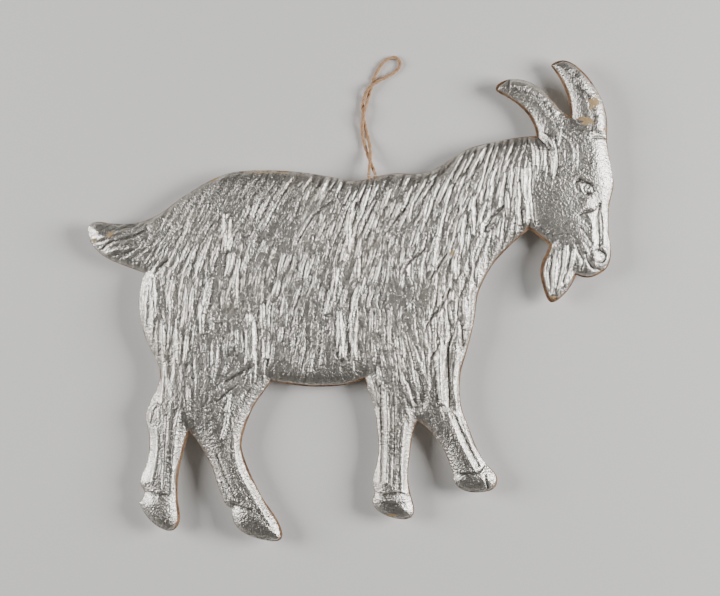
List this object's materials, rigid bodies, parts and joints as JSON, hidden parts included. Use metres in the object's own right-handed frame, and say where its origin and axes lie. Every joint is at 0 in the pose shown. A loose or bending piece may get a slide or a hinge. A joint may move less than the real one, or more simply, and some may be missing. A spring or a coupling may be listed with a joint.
{
  "type": "embossed card goat ornament",
  "caption": "Flat goat ornament of two embossed, silver-faced card halves pasted at the rim, with a twisted twine loop caught in the seam at the back for hanging.",
  "frame": {"origin": "under the middle of the goat's outline, without the twine, at the height of the lowest relief it lies on", "axes": "+X the way the goat faces, +Y from hooves to horns, +Z out of the front relief"},
  "size_m": [0.105, 0.0974, 0.006],
  "materials": {
    "silver_paper": "satin",
    "pressed_card": "matte",
    "paste": "matte",
    "twine": "matte"
  },
  "bodies": {
    "goat": {"front_skin": "silver_paper", "front_card": "pressed_card", "rim_paste": "paste", "back_card": "pressed_card", "back_skin": "silver_paper", "twine_tails": "twine", "twine_knot": "twine", "twine_dab": "paste"},
    "loop": {"hanging_loop": "twine"}
  },
  "joints": [
    {"name": "loop_fold", "type": "hinge", "parent": "goat", "child": "loop", "pos_m": [0.0043, 0.02545, 0.003], "axis": [1, 0, 0], "range_deg": [0, 120]}
  ]
}
